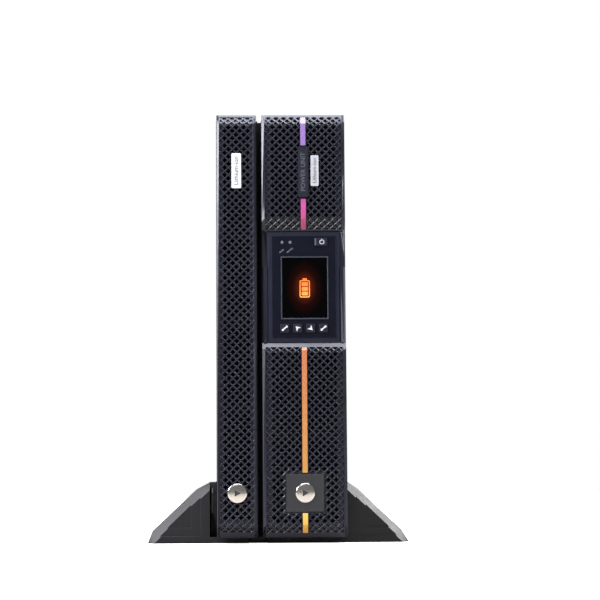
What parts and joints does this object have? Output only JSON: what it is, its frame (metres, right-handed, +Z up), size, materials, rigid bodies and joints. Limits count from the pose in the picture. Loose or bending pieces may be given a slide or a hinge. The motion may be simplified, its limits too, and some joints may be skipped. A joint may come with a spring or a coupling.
{
  "type": "rackmount ups",
  "caption": "Slim rack UPS with display, stood on edge beside a thin battery module in plastic tower feet; grille bezels, keys, fans, breakers and card move.",
  "frame": {"origin": "centre of the footprint on the floor, below the middle of the bounding box", "axes": "+Z up as it stands in its tower feet, front towards -Y, +X to the right seen from the front"},
  "size_m": [0.268, 0.57, 0.4365],
  "materials": {
    "bezel_plastic": "fine moulded texture, dark blue grey",
    "stand_plastic": "fine moulded texture, charcoal",
    "case_paint": "black powder coat",
    "fascia_gloss": "glossy blue black",
    "key_plastic": "satin dark grey",
    "display_glass": "black screen window with a glowing orange symbol",
    "bright_trim": "thin bright frame line",
    "badge_metal": "satin metal with a bright rim",
    "label_film": "white printed film",
    "circuit_board": "green solder mask",
    "heatsink_aluminium": "extruded, plain",
    "copper_winding": "enamelled copper wire",
    "capacitor_sleeve": "shrink sleeve",
    "cell_sleeve": "blue shrink sleeve",
    "fan_plastic": "black moulded",
    "guard_wire": "bright plated wire",
    "card_plate": "bright plated sheet",
    "socket_plastic": "dark grey moulded",
    "lamp_lens": "clear lens, unlit",
    "strip_violet": "coloured strip, violet",
    "strip_magenta": "coloured strip, pink to magenta",
    "strip_orange": "coloured strip, orange",
    "strip_amber": "coloured strip, yellow"
  },
  "bodies": {
    "enclosure": {"display_housing": "bezel_plastic", "display_fascia": "fascia_gloss", "screen_frame": "bright_trim", "lcd_screen": "display_glass", "run_lamp": "lamp_lens", "fault_lamp": "lamp_lens", "display_board": "circuit_board", "ups_chassis": "case_paint", "ups_cover": "case_paint", "ups_rear_panel": "case_paint", "lower_fan_frame": "fan_plastic", "lower_fan_guard": "guard_wire", "upper_fan_frame": "fan_plastic", "upper_fan_guard": "guard_wire", "port_block": "socket_plastic", "battery_inlet": "socket_plastic", "input_breaker": "socket_plastic", "terminal_cover": "case_paint", "terminal_block": "socket_plastic", "power_board": "circuit_board", "heatsink": "heatsink_aluminium", "boost_choke": "copper_winding", "inverter_choke": "copper_winding", "bus_capacitor": "capacitor_sleeve", "battery_chassis": "case_paint", "battery_cover": "case_paint", "battery_rear_panel": "case_paint", "lower_cell_block": "cell_sleeve", "upper_cell_block": "cell_sleeve", "battery_outlet": "socket_plastic", "battery_breaker": "socket_plastic", "front_left_foot": "stand_plastic", "front_right_foot": "stand_plastic", "front_spacer": "stand_plastic", "rear_left_foot": "stand_plastic", "rear_right_foot": "stand_plastic", "rear_spacer": "stand_plastic"},
    "upper_bezel": {"upper_bezel": "bezel_plastic", "accent_strip_violet": "strip_violet", "accent_strip_magenta": "strip_magenta", "name_plate": "bezel_plastic", "ups_label": "label_film"},
    "lower_bezel": {"lower_bezel": "bezel_plastic", "accent_strip_orange": "strip_orange", "accent_strip_amber": "strip_amber", "badge_plate": "bezel_plastic"},
    "ups_badge": {"ups_badge": "badge_metal"},
    "battery_bezel": {"battery_bezel": "bezel_plastic", "battery_label": "label_film"},
    "battery_badge": {"battery_badge": "badge_metal"},
    "power_button": {"power_button": "key_plastic"},
    "escape_key": {"escape_key": "key_plastic"},
    "up_key": {"up_key": "key_plastic"},
    "down_key": {"down_key": "key_plastic"},
    "enter_key": {"enter_key": "key_plastic"},
    "lower_fan_rotor": {"lower_fan_rotor": "fan_plastic"},
    "upper_fan_rotor": {"upper_fan_rotor": "fan_plastic"},
    "network_card": {"network_card": "card_plate"},
    "input_breaker_toggle": {"input_breaker_toggle": "fan_plastic"},
    "battery_breaker_toggle": {"battery_breaker_toggle": "fan_plastic"}
  },
  "joints": [
    {"name": "upper_bezel_pull", "type": "slide", "parent": "enclosure", "child": "upper_bezel", "axis": [0, -1, 0], "range_m": [0, 0.06]},
    {"name": "lower_bezel_pull", "type": "slide", "parent": "enclosure", "child": "lower_bezel", "axis": [0, -1, 0], "range_m": [0, 0.06]},
    {"name": "battery_bezel_pull", "type": "slide", "parent": "enclosure", "child": "battery_bezel", "axis": [0, -1, 0], "range_m": [0, 0.06]},
    {"name": "ups_badge_turn", "type": "hinge", "parent": "lower_bezel", "child": "ups_badge", "pos_m": [0.0267, -0.283, 0.0509], "axis": [0, 1, 0], "range_deg": [0, 90]},
    {"name": "battery_badge_turn", "type": "hinge", "parent": "battery_bezel", "child": "battery_badge", "pos_m": [-0.0415, -0.283, 0.0509], "axis": [0, 1, 0], "range_deg": [0, 90]},
    {"name": "power_button_press", "type": "slide", "parent": "enclosure", "child": "power_button", "axis": [0, 1, 0], "range_m": [0, 0.0008], "stiffness_N_per_m": 500, "springref_m": -0.0005},
    {"name": "escape_key_press", "type": "slide", "parent": "enclosure", "child": "escape_key", "axis": [0, 1, 0], "range_m": [0, 0.0008], "stiffness_N_per_m": 500, "springref_m": -0.0005},
    {"name": "up_key_press", "type": "slide", "parent": "enclosure", "child": "up_key", "axis": [0, 1, 0], "range_m": [0, 0.0008], "stiffness_N_per_m": 500, "springref_m": -0.0005},
    {"name": "down_key_press", "type": "slide", "parent": "enclosure", "child": "down_key", "axis": [0, 1, 0], "range_m": [0, 0.0008], "stiffness_N_per_m": 500, "springref_m": -0.0005},
    {"name": "enter_key_press", "type": "slide", "parent": "enclosure", "child": "enter_key", "axis": [0, 1, 0], "range_m": [0, 0.0008], "stiffness_N_per_m": 500, "springref_m": -0.0005},
    {"name": "lower_fan_rotor_spin", "type": "hinge", "parent": "enclosure", "child": "lower_fan_rotor", "pos_m": [0.0267, 0.251, 0.3065], "axis": [0, 1, 0], "continuous": true},
    {"name": "upper_fan_rotor_spin", "type": "hinge", "parent": "enclosure", "child": "upper_fan_rotor", "pos_m": [0.0267, 0.251, 0.3905], "axis": [0, 1, 0], "continuous": true},
    {"name": "network_card_slide", "type": "slide", "parent": "enclosure", "child": "network_card", "axis": [0, 1, 0], "range_m": [0, 0.12]},
    {"name": "input_breaker_toggle_throw", "type": "hinge", "parent": "enclosure", "child": "input_breaker_toggle", "pos_m": [0.0267, 0.262, 0.1455], "axis": [1, 0, 0], "range_deg": [-70, 0]},
    {"name": "battery_breaker_toggle_throw", "type": "hinge", "parent": "enclosure", "child": "battery_breaker_toggle", "pos_m": [-0.0415, 0.262, 0.1265], "axis": [1, 0, 0], "range_deg": [-70, 0]}
  ]
}
